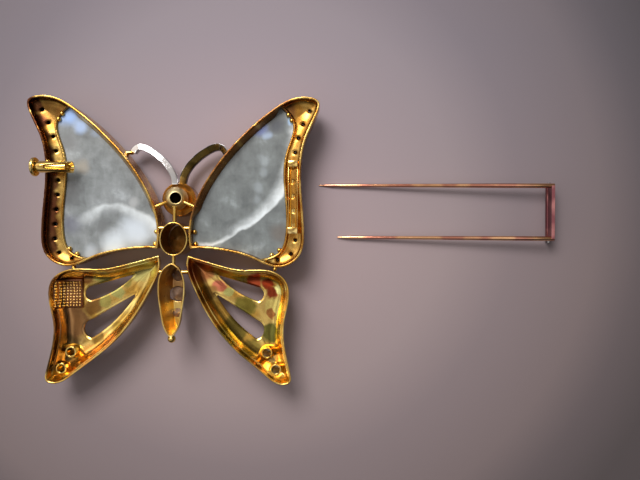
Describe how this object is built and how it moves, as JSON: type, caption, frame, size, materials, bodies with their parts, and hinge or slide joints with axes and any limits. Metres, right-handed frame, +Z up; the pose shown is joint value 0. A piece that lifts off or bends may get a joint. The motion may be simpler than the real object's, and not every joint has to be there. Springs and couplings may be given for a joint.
{
  "type": "butterfly hair jewel with detachable two-prong fork",
  "caption": "Butterfly jewel lying face down, with stone-set wings, a sliding catch and a loose two-prong fork that hinges on one wing.",
  "frame": {"origin": "on the table under the middle of the oval setting, where the table of its stone lies", "axes": "+X from the body to the right wing and on to the fork, +Y to the antennae, +Z up, to the back of the jewel"},
  "size_m": [0.0961, 0.0515, 0.0097],
  "materials": {
    "yellow_gold": "polished yellow gold",
    "rose_gold": "polished rose gold",
    "white_metal": "polished white gold",
    "mother_of_pearl": "smooth milky nacre",
    "brilliant": "cut clear stone",
    "brown_stone": "cut brown stone",
    "dark_stone": "cut dark stone",
    "steel": "hard steel rod"
  },
  "bodies": {
    "jewel": {"upper_wing_frame_left": "yellow_gold", "pearl_panel_left": "mother_of_pearl", "panel_claws_left": "yellow_gold", "band_stones_left": "brilliant", "lower_wing_left": "yellow_gold", "wing_tubes_left": "yellow_gold", "wing_stones_left": "brilliant", "antenna_left": "white_metal", "antenna_stones_left": "brilliant", "antenna_link_left": "yellow_gold", "head_link_left": "yellow_gold", "root_bead_left": "yellow_gold", "body_link_left": "yellow_gold", "wing_bridge_left": "yellow_gold", "upper_wing_frame_right": "yellow_gold", "pearl_panel_right": "mother_of_pearl", "panel_claws_right": "yellow_gold", "band_stones_right": "brilliant", "lower_wing_right": "yellow_gold", "wing_tubes_right": "yellow_gold", "wing_stones_right": "brilliant", "antenna_right": "white_metal", "antenna_stones_right": "brilliant", "antenna_link_right": "yellow_gold", "head_link_right": "yellow_gold", "root_bead_right": "yellow_gold", "body_link_right": "yellow_gold", "wing_bridge_right": "yellow_gold", "centre_collet": "yellow_gold", "centre_stone": "brown_stone", "head_collet": "yellow_gold", "head_ball": "yellow_gold", "head_stone": "dark_stone", "abdomen_shell": "yellow_gold", "abdomen_stones": "dark_stone", "neck_wire": "yellow_gold", "abdomen_stem": "yellow_gold", "tail_bead": "yellow_gold", "bare_plate": "yellow_gold", "catch_foot": "yellow_gold", "catch_tube": "yellow_gold", "hinge_ear_upper": "yellow_gold", "hinge_ear_lower": "yellow_gold", "hinge_cradle": "yellow_gold"},
    "slider": {"catch_slider": "yellow_gold", "catch_knob": "yellow_gold"},
    "hinge_bar": {"hinge_bar": "steel"},
    "fork": {"fork_web": "rose_gold", "prong_long": "rose_gold", "prong_short": "rose_gold"}
  },
  "joints": [
    {"name": "catch_slide", "type": "slide", "parent": "jewel", "child": "slider", "axis": [-1, 0, 0], "range_m": [0, 0.0036]},
    {"name": "fork_lift", "type": "slide", "parent": "jewel", "child": "hinge_bar", "axis": [0, 0, 1], "range_m": [0, 0.03]},
    {"name": "fork_swing", "type": "hinge", "parent": "hinge_bar", "child": "fork", "pos_m": [0.0692, 0.00545, 0.0006], "axis": [0, 1, 0], "range_deg": [0, 40]}
  ]
}
